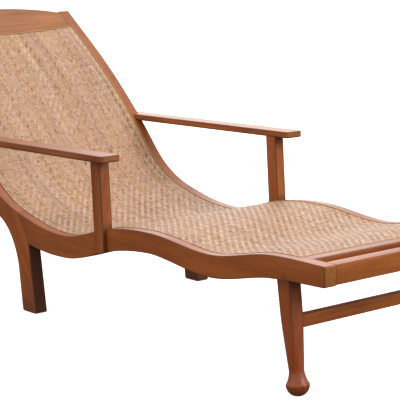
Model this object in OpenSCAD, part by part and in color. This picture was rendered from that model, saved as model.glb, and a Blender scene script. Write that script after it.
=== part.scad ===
// Long chair with a serpentine hardwood frame and a woven cane seat.
// Sizes in millimetres. +Z is up, the foot end is at -Y, the head end at +Y.
// The origin is on the floor, under the middle of the frame.
// Names ending in _s are distances along the floor from the foot end,
// names ending in _z are heights above the floor.

/* [Frame] */
// Width over the two side rails
frame_w = 630; // [590:5:680]
// Thickness of the boards that rails, back stiles and rear legs are sawn from
board_t = 38; // [36:1:42]
// Clearance around the tenons in their mortises
joint_gap = 0.2; // [0.1:0.05:0.3]

/* [Side line] */
// Height of the frame's top edge at the foot end
foot_z = 324; // [318:1:330]
// Distance from the foot end to the start of the slope under the shins
shin_s = 175; // [165:5:185]
// Height of the top edge there
shin_z = 322.5; // [318:0.5:326]
// Distance from the foot end to the hollow under the calves
calf_s = 400; // [385:5:415]
// Height of the top edge in that hollow
calf_z = 287.5; // [281:0.5:294]
// Distance from the foot end to the rise under the knees
knee_s = 614; // [600:2:630]
// Height of the top edge on that rise
knee_z = 304.5; // [298:0.5:310]
// Distance from the foot end to the slope under the thighs
thigh_s = 820; // [805:5:835]
// Height of the top edge there
thigh_z = 280; // [274:1:286]
// Distance from the foot end to the lowest point of the seat
seat_s = 985; // [975:5:995]
// Height of the lowest point of the seat
seat_z = 241; // [235:1:247]
// Distance from the foot end to the start of the back
hip_s = 1130; // [1120:2:1140]
// Height of the top edge there
hip_z = 259; // [253:1:265]
// Distance from the foot end to the steepest point of the back
loin_s = 1355; // [1345:5:1365]
// Height of the top edge there
loin_z = 380; // [370:1:390]
// Distance from the foot end to the middle of the back
back_s = 1560; // [1545:5:1575]
// Height of the top edge there
back_z = 585; // [575:1:595]
// Distance from the foot end to the top of the back
top_s = 1789; // [1765:1:1810]
// Height of the top of the back stiles
top_z = 763; // [748:1:778]

/* [Board depths] */
// Depth of the side rail at the foot end
foot_depth = 50; // [46:1:54]
// Depth of the side rail over the front leg
shin_depth = 56; // [52:1:60]
// Depth of the side rail in the hollow under the calves
calf_depth = 57; // [53:1:61]
// Depth of the side rail on the rise under the knees
knee_depth = 53; // [49:1:57]
// Depth of the side rail under the seat
seat_depth = 60; // [56:1:64]
// Depth of the side rail where the back starts
hip_depth = 67; // [63:1:71]
// Depth of the back stile over the rear leg
stile_depth = 54; // [50:1:58]
// Depth of the back stile at its top
stile_top_depth = 42; // [38:1:46]

/* [Rear legs] */
// Distance from the foot end to the joint of side rail and back stile, on top
scarf_top_s = 1189; // [1183:1:1195]
// Distance from the foot end to the point above the joint's lower end
scarf_low_s = 1122; // [1116:1:1128]
// Distance from the foot end to where the leg leaves the back stile
haunch_s = 1245; // [1240:1:1252]
// Distance from the foot end to the front of the rear foot
rear_foot_s = 1108; // [1100:1:1116]
// Length of the rear foot on the floor
rear_foot_l = 62; // [56:1:66]
// Height of the straight part of the rear leg
rear_calf_z = 115; // [105:1:125]
// Backward slope of the rear leg over that height
rear_calf_run = 16; // [12:1:20]
// Chamfer round the rear foot
rear_foot_cut = 4; // [2:0.5:5]

/* [Front legs] */
// Distance from the foot end to the centre of the front foot
front_foot_s = 99; // [92:1:106]
// Distance from the foot end to the centre of the front leg's top
front_leg_s = 137; // [132:1:142]
// Side of the front leg's square top
leg_w = 40; // [37:1:42]
// How far that square stands back from the rail's outer face
leg_set_in = 1; // [0.5:0.5:2]
// Radius of the round ankle
ankle_r = 18.2; // [17:0.1:18.5]
// Height of the ankle
ankle_z = 60; // [54:1:66]
// Radius of the round foot
ball_r = 28.5; // [26.5:0.5:31]
// Height of the round foot's widest place
ball_z = 26; // [24:0.5:26]
// Height of the middle of the stretcher between the front legs
stretcher_z = 170; // [160:1:180]
// Height of the stretcher
stretcher_h = 30.5; // [28:0.5:33]
// Thickness of the stretcher
stretcher_t = 22; // [20:1:24]

/* [Arms] */
// Height of the arm's top at its front end
arm_z = 485; // [478:1:492]
// Distance from the foot end to the arm's front end
arm_s = 755; // [745:1:765]
// Length of the arm
arm_l = 741; // [730:1:752]
// Fall of the arm toward the back, for each millimetre of length
arm_fall = 0.026; // [0.02:0.001:0.032]
// Thickness of the arm
arm_t = 18; // [16:1:20]
// Width of the arm at its front end
arm_front_w = 62; // [59:1:68]
// Width of the arm at the back
arm_back_w = 56; // [52:1:58]
// Radius of the arm's rounded outer corners
arm_r = 14; // [10:1:18]
// Width of the arm post
post_w = 32; // [30:1:34]
// Depth of the arm post, along the arm
post_d = 38; // [34:1:42]
// How far the post stands out from the side rail
post_proud = 11.5; // [10:0.5:13]
// Depth of the housing for the post in the side rail's outer face
housing_d = 9; // [7:0.5:11]
// Distance from the foot end to the post's front edge, at the arm
post_s = 803.5; // [795:0.5:810]
// Lean of the post, in degrees
post_lean = 4.2; // [3:0.1:6]

/* [Cross rails] */
// Width of the outermost rail at the foot end
end_rail_w = 34; // [30:1:38]
// How far the cross rails lie above the underside of the side rails
cross_up = 2; // [1:0.5:4]
// Width of the open slot behind the outermost rail
slot_w = 37; // [33:1:40]
// Visible width of the rail that carries the cane at the foot end
foot_rail_w = 34; // [31:1:37]
// Depth of the crest rail's face at the stiles
crest_h = 64; // [60:1:68]
// How far the crest rail's corners lie below the tops of the stiles
crest_ear = 6; // [3:0.5:9]
// Rise of the crest rail's top edge in the middle
crest_rise = 34; // [28:1:40]
// Drop of the crest rail's lower edge in the middle
crest_belly = 18; // [14:1:22]
// Thickness of the crest rail
crest_t = 22; // [20:1:25]
// Distance from the foot end to the middle of the hidden rail behind the seat
seat_rail_s = 1198; // [1193:1:1202]
// Height of the middle of that rail
seat_rail_z = 226; // [221:1:230]
// Depth of that rail
seat_rail_h = 44; // [40:1:46]
// Thickness of that rail
seat_rail_t = 22; // [20:1:24]
// Tilt of that rail, in degrees
seat_rail_tilt = 35; // [30:1:40]

/* [Tenons] */
// Thickness of the tenons of legs and side rails
tenon_t = 12; // [11:0.5:13]
// Length of the cross rails' tenons at the foot end
cross_tenon_l = 18; // [14:1:20]
// Height of those tenons
cross_tenon_h = 26; // [22:1:28]
// Length of the side rail's tenon in the back stile
scarf_tenon_l = 30; // [24:1:34]
// Depth of the side rail's tenon
scarf_tenon_h = 54; // [46:1:58]
// Length of the front leg's tenon above its shoulder
leg_tenon_l = 30; // [24:1:34]
// Width of the front leg's tenon
leg_tenon_w = 24; // [20:1:26]
// Diameter of the round tenon between post and arm
peg_d = 16; // [14:1:18]
// Length of that tenon
peg_l = 11; // [9:0.5:13]
// Length of the seat rail's and stretcher's tenons
rail_tenon_l = 11; // [9:0.5:12]
// Length of the crest rail's tenons
crest_tenon_l = 22; // [18:1:26]
// Depth of the crest rail's tenons
crest_tenon_h = 42; // [36:1:46]
// Thickness of the crest rail's tenons
crest_tenon_t = 10; // [8:0.5:11]

/* [Cane] */
// Thickness of the woven cane
cane_t = 2.4; // [2:0.1:2.8]
// Depth of the cane's top below the wood
cane_low = 0.6; // [0.4:0.1:1]
// Width of the ledge under the cane's edge
ledge_w = 5; // [4:0.5:6]
// Width of the bead that holds the cane in its groove
bead_w = 4; // [3.6:0.1:4.4]
// Height of the bead above the wood
bead_high = 0.8; // [0.4:0.1:1.2]
// Depth of the bead in the groove
bead_low = 5; // [4:0.1:5.4]
// Depth of the groove
groove_low = 6; // [5.6:0.1:7]
// Width of the cane's folded edge beside the bead
fold_w = 1.2; // [1:0.1:1.6]

/* [Hidden] */

$fn = 64;

wood = [0.62, 0.34, 0.17];
wood_light = [0.70, 0.42, 0.22];
cane_colour = [0.85, 0.66, 0.44];
bead_colour = [0.66, 0.44, 0.26];

// Half widths: outer and inner face of the side boards, then the cane's edge,
// which has a ledge, the cane's folded edge and the bead in one groove
out_x = frame_w / 2;
in_x = out_x - board_t;
mid_x = out_x - board_t / 2;
fold_x = in_x + ledge_w;
bead_x = fold_x + fold_w;
groove_x = bead_x + bead_w;
groove_w = fold_w + bead_w;
edge_w = ledge_w + groove_w;
cane_under = cane_low + cane_t;

// How far a tenon or a cut starts behind the face that it leaves
bite = 5 * joint_gap;

// The side line: [distance, height, slope, depth of the board below it].
// Between these points the top edge is a smooth cubic curve.
line = [
    [0, foot_z, 0, foot_depth],
    [shin_s, shin_z, -0.06, shin_depth],
    [calf_s, calf_z, 0, calf_depth],
    [knee_s, knee_z, 0, knee_depth],
    [thigh_s, thigh_z, -0.28, seat_depth],
    [seat_s, seat_z, 0, seat_depth],
    [hip_s, hip_z, 0.25, hip_depth],
    [loin_s, loin_z, 1.17, stile_depth],
    [back_s, back_z, 0.87, stile_depth],
    [top_s, top_z, 0.76, stile_depth]
];

// All boards follow the side line in the same straight steps
step = top_s / 72;

function span(s, i = 0) = i >= len(line) - 2 || s < line[i + 1][0] ? i : span(s, i + 1);

function cubic(a, b, t, h) =
    (1 + 2 * t) * (1 - t) * (1 - t) * a[1] + t * (1 - t) * (1 - t) * h * a[2]
    + t * t * (3 - 2 * t) * b[1] + t * t * (t - 1) * h * b[2];

function line_z(s) =
    let (i = span(s), a = line[i], b = line[i + 1], h = b[0] - a[0])
    cubic(a, b, (s - a[0]) / h, h);

function line_angle(s) = atan2(line_z(s + step / 20) - line_z(s - step / 20), step / 10);

function depth(s) =
    let (i = span(s), a = line[i], b = line[i + 1])
    a[3] + (b[3] - a[3]) * (s - a[0]) / (b[0] - a[0]);

// A point square below the side line, at depth d or at the board's own depth
function under(s, d) =
    let (a = line_angle(s), e = is_undef(d) ? depth(s) : d)
    [s + e * sin(a), line_z(s) - e * cos(a)];

function edge(s, d) =
    let (k = floor(s / step), t = s / step - k)
    (1 - t) * under(k * step, d) + t * under((k + 1) * step, d);

function stations(s0, s1) = concat(
    [s0],
    [for (k = [ceil(s0 / step + 0.01) : floor(s1 / step - 0.01)]) k * step],
    [s1]);

function backward(list) = [for (i = [len(list) - 1 : -1 : 0]) list[i]];

// A strip along the side line, from depth d0 down to depth d1
function strip(s0, s1, d0, d1) = concat(
    [for (s = stations(s0, s1)) edge(s, d0)],
    [for (s = backward(stations(s0, s1))) edge(s, d1)]);

// A curve from a to b that leaves toward c and arrives from d
function bend(a, c, d, b, n) = [for (i = [1 : n - 1])
    let (t = i / n, u = 1 - t)
    u * u * u * a + 3 * u * u * t * c + 3 * u * t * t * d + t * t * t * b];

// The crest rail lies in the plane of the back
crest_low_u = -crest_ear - crest_h;
crest_turn = atan2(top_z - line_z(top_s + 0.8 * crest_low_u), -0.8 * crest_low_u);
groove_end_s = top_s + crest_low_u * cos(crest_turn);

// Overall length, from the foot end to the back of the crest rail
whole_l = max(top_s + stile_top_depth * sin(line_angle(top_s)),
    top_s + (crest_rise - crest_ear) * cos(crest_turn) + crest_t * sin(crest_turn));

// The slanted joint between side rail and back stile
scarf_top = edge(scarf_top_s, 0);
scarf_low = edge(scarf_low_s);
scarf_mid = (scarf_top + scarf_low) / 2;
scarf_turn = atan2(scarf_top[1] - scarf_low[1], scarf_top[0] - scarf_low[0]);

// Cross rails at the foot end
foot_rail_s = end_rail_w + slot_w;
cane_s = foot_rail_s + foot_rail_w;
cross_z = foot_z - foot_depth + cross_up;

// Arms and posts
arm_turn = atan(arm_fall);
arm_under_z = arm_z - arm_t / cos(arm_turn);
post_out = out_x + post_proud;
post_in = post_out - post_w;
housing_x = out_x - housing_d;
post_run = tan(post_lean);
post_l = post_d / cos(post_lean);

// Front legs
leg_turn = atan2(front_leg_s - front_foot_s, cross_z);
leg_x = out_x - leg_set_in - leg_w / 2;
leg_h = cross_z + 0.55 * leg_w;
stretcher_s = front_foot_s + stretcher_z * tan(leg_turn);

// Places an outline drawn as [distance, height] between two widths
module across(x0, x1, points) {
    translate([x0, -whole_l / 2, 0])
        rotate([90, 0, 90])
            linear_extrude(x1 - x0)
                polygon(points);
}

module block(x0, x1, s0, s1, z0, z1) {
    translate([x0, s0 - whole_l / 2, z0])
        cube([x1 - x0, s1 - s0, z1 - z0]);
}

// Pieces are drawn for the left side; the right one is the mirror image
module on_side(left) {
    if (left)
        children();
    else
        mirror([1, 0, 0]) children();
}

module on_both() {
    for (left = [false, true])
        on_side(left) children();
}

function rail_outline() = concat(
    [for (s = stations(0, scarf_top_s)) edge(s, 0)],
    [for (s = backward(stations(0, scarf_low_s))) edge(s)]);

// Back stile and rear leg, sawn from one board
function stile_d(s) =
    stile_depth + (stile_top_depth - stile_depth) * (s - haunch_s) / (top_s - haunch_s);

function stile_outline() =
    let (haunch = edge(haunch_s, stile_depth),
        heel = [rear_foot_s + rear_foot_l, 0],
        calf = heel + [rear_calf_run, rear_calf_z],
        toe = [rear_foot_s, 0],
        cut = rear_foot_cut)
    concat(
        [for (s = stations(scarf_top_s, top_s)) edge(s, 0)],
        [for (s = backward(stations(haunch_s, top_s))) edge(s, stile_d(s))],
        bend(haunch, haunch - stile_depth * [0.74, 0.37],
            calf + [rear_calf_run, rear_calf_z] / 2.1, calf, 9),
        [calf, heel + [rear_calf_run, rear_calf_z] * cut / rear_calf_z, heel - [cut, 0],
            toe + [cut, 0], toe + (scarf_low - toe) * cut / scarf_low[1], scarf_low]);

// Ledge for the cane's edge and groove for its bead
module cane_seat(s0, s1) {
    across(in_x - bite, groove_x, strip(s0, s1, -ledge_w, cane_under));
    across(fold_x, groove_x, strip(s0, s1, -ledge_w, groove_low));
}

module scarf_tenon(gap) {
    translate([mid_x - tenon_t / 2 - gap, scarf_mid[0] - whole_l / 2, scarf_mid[1]])
        rotate([scarf_turn - 90, 0, 0])
            translate([0, -tenon_t, -scarf_tenon_h / 2 - gap])
                cube([tenon_t + 2 * gap, scarf_tenon_l + tenon_t + gap, scarf_tenon_h + 2 * gap]);
}

// Tenon of a cross rail at the foot end, around distance s
module cross_tenon(s, gap) {
    mid = cross_z + (foot_depth - cross_up) / 2;
    block(in_x - bite, in_x + cross_tenon_l + gap,
        s - tenon_t / 2 - gap, s + tenon_t / 2 + gap,
        mid - cross_tenon_h / 2 - gap, mid + cross_tenon_h / 2 + gap);
}

module end_rail_tenon(gap) {
    cross_tenon(end_rail_w / 2, gap);
}

module foot_rail_tenon(gap) {
    cross_tenon(foot_rail_s + foot_rail_w / 2 - 3, gap);
}

module leg_tenon(gap) {
    z = foot_z - shin_depth;
    block(mid_x - tenon_t / 2 - gap, mid_x + tenon_t / 2 + gap,
        front_leg_s - leg_tenon_w / 2 - gap, front_leg_s + leg_tenon_w / 2 + gap,
        z - tenon_t / 2, z + leg_tenon_l + gap);
}

// Where a line with the post's lean meets the underside of the arm
function arm_under(s) = arm_under_z - arm_fall * (s - arm_s);

function post_top(s) =
    let (z0 = arm_under(post_s),
        z = (arm_under(s) + arm_fall * z0 * post_run) / (1 + arm_fall * post_run))
    [s + (z - z0) * post_run, z];

module post_bar(x0, x1, low_z) {
    front = post_top(post_s);
    back = post_top(post_s + post_l);
    across(x0, x1, [
        [front[0] - (front[1] - low_z) * post_run, low_z],
        [back[0] - (back[1] - low_z) * post_run, low_z],
        back, front]);
}

module post_peg(gap) {
    translate([(post_in + post_out) / 2, post_s + post_l / 2 - whole_l / 2, arm_under(post_s) - peg_l / 4])
        cylinder(d = peg_d + 2 * gap, h = 1.25 * peg_l + gap);
}

module side_rail(left) {
    color(wood)
        on_side(left) {
            difference() {
                across(in_x, out_x, rail_outline());
                cane_seat(cane_s + bead_w, scarf_top_s + step);
                across(in_x - bite, groove_x, strip(cane_s, cane_s + groove_w, -ledge_w, groove_low));
                post_bar(housing_x, out_x + bite, 0);
                leg_tenon(joint_gap);
                end_rail_tenon(joint_gap);
                foot_rail_tenon(joint_gap);
            }
            difference() {
                scarf_tenon(0);
                across(in_x - bite, out_x + bite, rail_outline());
            }
        }
}

// Places a shape drawn flat on the face of the crest rail: +Y up the back, +Z out
module on_crest() {
    translate([0, top_s - whole_l / 2, top_z])
        rotate([crest_turn, 0, 0])
            children();
}

function crest_low(x, drop) = crest_low_u - drop - crest_belly * (1 - pow(x / in_x, 2));
function crest_top(x) = -crest_ear + crest_rise * (1 - pow(abs(x) / in_x, 2.4));
function crest_xs(w) = [for (i = [-14 : 14]) w * i / 14];

// A band of the crest rail's face below its curved lower edge
module crest_band(w, d0, d1) {
    on_crest()
        translate([0, 0, -crest_t])
            linear_extrude(2 * crest_t)
                polygon(concat(
                    [for (x = crest_xs(w)) [x, crest_low(x, d1)]],
                    [for (x = backward(crest_xs(w))) [x, crest_low(x, d0)]]));
}

// A sheet under the side line near the crest rail, from depth d0 to depth d1
module crest_sheet(w, d0, d1) {
    across(-w, w, strip(groove_end_s - crest_h, groove_end_s + crest_h / 3, d0, d1));
}

module crest_tenon(gap) {
    on_crest()
        translate([in_x - bite, crest_low_u + (crest_h - crest_tenon_h) / 2 - gap,
            -crest_t / 2 - crest_tenon_t / 2 - gap])
            cube([crest_tenon_l + bite + gap, crest_tenon_h + 2 * gap, crest_tenon_t + 2 * gap]);
}

// The hidden rail behind the seat, or its tenons
module seat_bar(x0, x1, t, h) {
    translate([x0, seat_rail_s - whole_l / 2, seat_rail_z])
        rotate([seat_rail_tilt, 0, 0])
            translate([0, -t / 2, -h / 2])
                cube([x1 - x0, t, h]);
}

module seat_rail_tenon(gap) {
    seat_bar(in_x - bite, in_x + rail_tenon_l + gap, tenon_t + 2 * gap, 0.68 * seat_rail_h + 2 * gap);
}

module back_stile(left) {
    color(wood)
        on_side(left)
            difference() {
                across(in_x, out_x, stile_outline());
                cane_seat(scarf_top_s - step, groove_end_s);
                intersection() {
                    crest_sheet(groove_x, -ledge_w, groove_low);
                    crest_band(groove_x, 0, groove_w);
                }
                scarf_tenon(joint_gap);
                seat_rail_tenon(joint_gap);
                crest_tenon(joint_gap);
                // the top corner is eased toward the crest rail
                on_crest()
                    translate([in_x, 0, -2 * stile_depth])
                        linear_extrude(3 * stile_depth)
                            polygon([[-bite, -crest_ear - bite], [crest_ear + bite, bite], [-bite, bite]]);
            }
}

module crest_rail() {
    color(wood) {
        difference() {
            on_crest()
                translate([0, 0, -crest_t])
                    linear_extrude(crest_t)
                        polygon(concat(
                            [for (x = crest_xs(in_x)) [x, crest_low(x, edge_w)]],
                            [for (x = backward(crest_xs(in_x))) [x, crest_top(x)]]));
            // ledge under the cane and groove for the bead
            intersection() {
                crest_sheet(in_x + ledge_w, -2 * ledge_w, cane_under);
                crest_band(in_x + ledge_w, bead_w, crest_h);
            }
            intersection() {
                crest_sheet(in_x + ledge_w, -2 * ledge_w, groove_low);
                crest_band(in_x + ledge_w, 0, groove_w);
            }
        }
        on_both() crest_tenon(0);
    }
}

module seat_rail() {
    color(wood) {
        seat_bar(-in_x, in_x, seat_rail_t, seat_rail_h);
        on_both() seat_rail_tenon(0);
    }
}

module foot_rail() {
    end_s = cane_s + edge_w;
    color(wood) {
        difference() {
            across(-in_x, in_x, concat(
                [for (s = stations(foot_rail_s, end_s)) edge(s, 0)],
                [[end_s, cross_z], [foot_rail_s, cross_z]]));
            across(-in_x - bite, in_x + bite, strip(cane_s, end_s + step, -ledge_w, cane_under));
            across(-in_x - bite, in_x + bite, strip(cane_s, cane_s + groove_w, -ledge_w, groove_low));
        }
        on_both() foot_rail_tenon(0);
    }
}

module end_rail() {
    color(wood_light) {
        across(-in_x, in_x, [[0, cross_z], edge(0, 0), edge(end_rail_w, 0), [end_rail_w, cross_z]]);
        on_both() end_rail_tenon(0);
    }
}

// Front leg: square under the rail, turned round toward the ankle, with a ball foot
module leg_turning() {
    rotate_extrude()
        polygon(concat(
            [[0, ball_z]],
            [for (i = [0 : 4])
                [ankle_r + (ball_r - ankle_r) * pow(1 - i / 4, 2), ball_z + (ankle_z - ball_z) * i / 4]],
            [[ankle_r + (leg_h - ankle_z) / 15, leg_h], [0, leg_h]]));
    intersection() {
        translate([0, 0, ball_z])
            sphere(r = ball_r);
        translate([-ball_r, -ball_r, -ball_r])
            cube([2 * ball_r, 2 * ball_r, ball_r + ball_z]);
    }
}

module leg_taper() {
    translate([0, leg_w, 0])
        rotate([90, 0, 0])
            linear_extrude(2 * leg_w)
                polygon([
                    [-leg_w, -leg_w], [leg_w, -leg_w], [leg_w, ankle_z], [ankle_r, ankle_z],
                    [leg_w / 2, leg_h], [-leg_w / 2, leg_h], [-ankle_r, ankle_z], [-leg_w, ankle_z]]);
}

module leg_body() {
    translate([leg_x, front_foot_s - whole_l / 2, 0])
        rotate([-leg_turn, 0, 0])
            intersection() {
                leg_turning();
                leg_taper();
                rotate([0, 0, 90]) leg_taper();
            }
}

module stretcher_tenon(gap) {
    block(leg_x - leg_w / 2 - bite, leg_x - leg_w / 2 + rail_tenon_l + gap,
        stretcher_s - stretcher_t / 4 - gap, stretcher_s + stretcher_t / 4 + gap,
        stretcher_z - stretcher_h / 3 - gap, stretcher_z + stretcher_h / 3 + gap);
}

module front_leg(left) {
    color(wood)
        on_side(left) {
            difference() {
                leg_body();
                block(leg_x - leg_w, leg_x + leg_w, -leg_w, front_leg_s + leg_w, -leg_w, 0);
                across(in_x - leg_w, out_x + leg_w, rail_outline());
                stretcher_tenon(joint_gap);
            }
            leg_tenon(0);
        }
}

module stretcher() {
    color(wood_light) {
        difference() {
            block(-leg_x, leg_x, stretcher_s - stretcher_t / 2, stretcher_s + stretcher_t / 2,
                stretcher_z - stretcher_h / 2, stretcher_z + stretcher_h / 2);
            on_both() leg_body();
            on_both() block(leg_x - leg_w / 4, leg_x + bite,
                stretcher_s - stretcher_t, stretcher_s + stretcher_t,
                stretcher_z - stretcher_h, stretcher_z + stretcher_h);
        }
        on_both() stretcher_tenon(0);
    }
}

module arm_post(left) {
    color(wood)
        on_side(left) {
            difference() {
                post_bar(post_in, post_out, line_z(post_s) - seat_depth / 2);
                across(in_x, post_out + bite, rail_outline());
            }
            intersection() {
                post_bar(housing_x, post_out, 0);
                across(in_x, post_out + bite, rail_outline());
            }
            post_peg(0);
        }
}

// The arm from above: straight inside, gently curved outside
function arm_w(t) = arm_back_w + (arm_front_w - arm_back_w) * pow(1 - t, 2.2);

function arm_outline() =
    let (w0 = arm_w(arm_r / arm_l), r = arm_r)
    concat(
        [[0, 0]],
        [for (a = [0 : 15 : 90]) [w0 - r + r * sin(a), r - r * cos(a)]],
        [for (t = [0.1 : 0.1 : 0.9]) [arm_w(t), t * arm_l]],
        [for (a = [0 : 15 : 90]) [arm_back_w - r + r * cos(a), arm_l - r + r * sin(a)]],
        [[0, arm_l]]);

module chair_arm(left) {
    color(wood_light)
        on_side(left)
            difference() {
                translate([post_in, arm_s - whole_l / 2, arm_z])
                    rotate([-arm_turn, 0, 0])
                        translate([0, 0, -arm_t])
                            linear_extrude(arm_t)
                                polygon(arm_outline());
                // the inner part ends on the stile, the outer part runs past it
                across(0, out_x, stile_outline());
                across(0, out_x, [edge(loin_s, 0), edge(top_s, 0), [top_s, seat_z], [loin_s, seat_z]]);
                post_peg(joint_gap);
            }
}

module cane_panel() {
    s0 = cane_s + bead_w;
    color(cane_colour) {
        difference() {
            union() {
                across(-bead_x, bead_x, strip(s0, groove_end_s + step, cane_low, cane_under));
                on_both() across(fold_x, bead_x, strip(s0, groove_end_s + step, cane_low, groove_low));
            }
            crest_band(groove_x, -2 * crest_h, bead_w);
        }
        across(-bead_x, bead_x, strip(s0, cane_s + groove_w, cane_low, groove_low));
        intersection() {
            crest_sheet(bead_x, cane_low, groove_low);
            crest_band(bead_x, bead_w, groove_w);
        }
    }
}

module side_bead(left) {
    color(bead_colour)
        on_side(left)
            across(bead_x, groove_x, strip(cane_s, groove_end_s, -bead_high, bead_low));
}

module foot_bead() {
    color(bead_colour)
        across(-bead_x, bead_x, strip(cane_s, cane_s + bead_w, -bead_high, bead_low));
}

module crest_bead() {
    color(bead_colour)
        intersection() {
            crest_sheet(bead_x, -bead_high, bead_low);
            crest_band(bead_x, 0, bead_w);
        }
}

side_rail(false);  // right_rail
side_rail(true);  // left_rail
back_stile(false);  // right_stile
back_stile(true);  // left_stile
crest_rail();
seat_rail();
foot_rail();
end_rail();
front_leg(false);  // right_front_leg
front_leg(true);  // left_front_leg
stretcher();
arm_post(false);  // right_post
arm_post(true);  // left_post
chair_arm(false);  // right_arm
chair_arm(true);  // left_arm
cane_panel();
side_bead(false);  // right_bead
side_bead(true);  // left_bead
foot_bead();
crest_bead();
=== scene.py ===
import math

import bmesh
import bpy
import numpy as np
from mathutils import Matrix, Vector


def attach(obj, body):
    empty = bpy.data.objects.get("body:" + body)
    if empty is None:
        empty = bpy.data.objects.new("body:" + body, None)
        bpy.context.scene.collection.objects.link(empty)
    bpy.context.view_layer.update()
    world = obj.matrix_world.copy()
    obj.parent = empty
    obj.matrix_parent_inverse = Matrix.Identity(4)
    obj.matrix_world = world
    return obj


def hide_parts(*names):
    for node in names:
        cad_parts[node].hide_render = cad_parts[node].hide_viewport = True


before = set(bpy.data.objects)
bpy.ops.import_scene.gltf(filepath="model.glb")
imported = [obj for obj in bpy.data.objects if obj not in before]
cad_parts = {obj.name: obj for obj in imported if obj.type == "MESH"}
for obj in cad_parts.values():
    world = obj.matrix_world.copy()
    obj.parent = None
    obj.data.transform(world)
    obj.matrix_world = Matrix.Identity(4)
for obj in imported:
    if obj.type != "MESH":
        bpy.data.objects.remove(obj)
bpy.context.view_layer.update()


# Side rails
# Two hardwood boards sawn to one long serpentine line, from the foot end to the
# seat. Their top carries a groove for the cane, every arris is eased by hand, and
# each board ends on a slanted joint under the sitter's hips.

half_length = 912.3  # from the foot end to the middle of the frame
rail_out, rail_in = 315.0, 277.0  # outer and inner face of the boards
side_line = np.array([
    # distance, height, slope, depth of the board
    [0, 324, 0, 50],
    [175, 322.5, -0.06, 56],
    [400, 287.5, 0, 57],
    [614, 304.5, 0, 53],
    [820, 280, -0.28, 60],
    [985, 241, 0, 60],
    [1130, 259, 0.25, 67],
    [1355, 380, 1.17, 54],
    [1560, 585, 0.87, 54],
    [1789, 763, 0.76, 54],
])


def line_at(s):
    """Height and slope of the side line: between two stations it is the cubic
    that has the stations' heights and slopes at its ends."""
    s = np.asarray(s, float)
    i = np.clip(np.searchsorted(side_line[:, 0], s, side="right") - 1, 0, len(side_line) - 2)
    a, b = side_line[i], side_line[i + 1]
    h = b[..., 0] - a[..., 0]
    t = (s - a[..., 0]) / h
    z = ((1 + 2 * t) * (1 - t) ** 2 * a[..., 1] + t * (1 - t) ** 2 * h * a[..., 2]
         + t * t * (3 - 2 * t) * b[..., 1] + t * t * (t - 1) * h * b[..., 2])
    slope = ((6 * t * t - 6 * t) * (a[..., 1] - b[..., 1]) / h
             + (1 - t) * (1 - 3 * t) * a[..., 2] + t * (3 * t - 2) * b[..., 2])
    return z, slope


def below(s, depth):
    """The point at a depth square below the side line: the line's own point,
    moved by the depth along the line's downward normal."""
    z, slope = line_at(s)
    length = np.hypot(1, slope)
    return np.stack([s + depth * slope / length, z - depth / length], -1)


def board_depth(s):
    """Depth of the sawn board, straight between the stations."""
    return np.interp(s, side_line[:, 0], side_line[:, 3])


def eased(corners, radius, steps=4):
    """Rounds the corners of an outline: each corner becomes a short parabola
    that starts and ends the radius away from it on its two edges."""
    p = np.asarray(corners, float)
    back = np.roll(p, 1, 0) - p
    fore = np.roll(p, -1, 0) - p
    back *= (radius / np.hypot(*back.T))[:, None]
    fore *= (radius / np.hypot(*fore.T))[:, None]
    t = np.linspace(0, 1, steps)[None, :, None]
    return ((p + back)[:, None] * (1 - t) ** 2 + 2 * t * (1 - t) * p[:, None]
            + (p + fore)[:, None] * t * t).reshape(-1, 2)


def mesh_of(name, points, faces):
    """A mesh from points in millimetres: they are moved so that the middle of
    the frame is at the origin, and divided by a thousand into metres."""
    at = np.array(points, float).reshape(-1, 3)
    at[:, 1] -= half_length
    mesh = bpy.data.meshes.new(name)
    mesh.from_pydata((at * 0.001).tolist(), [], faces)
    return mesh


def finished(name, mesh, finish, angle):
    """Makes a mesh a piece of the chair. Its shading is smooth, and breaks where
    two faces meet at more than the angle."""
    mesh.polygons.foreach_set("use_smooth", np.ones(len(mesh.polygons), bool))
    mesh.set_sharp_from_angle(angle=math.radians(angle))
    mesh.materials.append(finish)
    piece = bpy.data.objects.new(name, mesh)
    bpy.context.scene.collection.objects.link(piece)
    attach(piece, "root")
    return piece


def shape(name, points, faces, finish, painted_shade, angle=38):
    """Makes one closed piece of wood with its faces turned outward, with a mark at each point
    for how much painted shade darkens it."""
    mesh = mesh_of(name, points, faces)
    mesh.attributes.new("painted_shade", "FLOAT", "POINT").data.foreach_set(
        "value", np.asarray(painted_shade, np.float32).ravel())
    work = bmesh.new()
    work.from_mesh(mesh)
    bmesh.ops.recalc_face_normals(work, faces=work.faces[:])
    work.to_mesh(mesh)
    work.free()
    return finished(name, mesh, finish, angle)


def tube(rows, columns):
    """Faces of a closed tube whose rings are the rows of a grid: four-sided ones
    between neighbouring rings, and one flat face on each end."""
    r, c = np.meshgrid(np.arange(rows - 1), np.arange(columns), indexing="ij")
    d = (c + 1) % columns
    sides = np.stack([r * columns + c, r * columns + d,
                      (r + 1) * columns + d, (r + 1) * columns + c], -1)
    last = (rows - 1) * columns
    return sides.reshape(-1, 4).tolist() + [list(range(columns))[::-1], list(range(last, last + columns))]


def arris_mark(rings):
    """1 on the rings of a rounded arris, where the inset changes, and 0 elsewhere."""
    inset = np.asarray(rings, float)[:, 1]
    mark = (inset < np.maximum(np.roll(inset, 1), np.roll(inset, -1))).astype(float)
    mark[[0, -1]] = 0
    return mark


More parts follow.
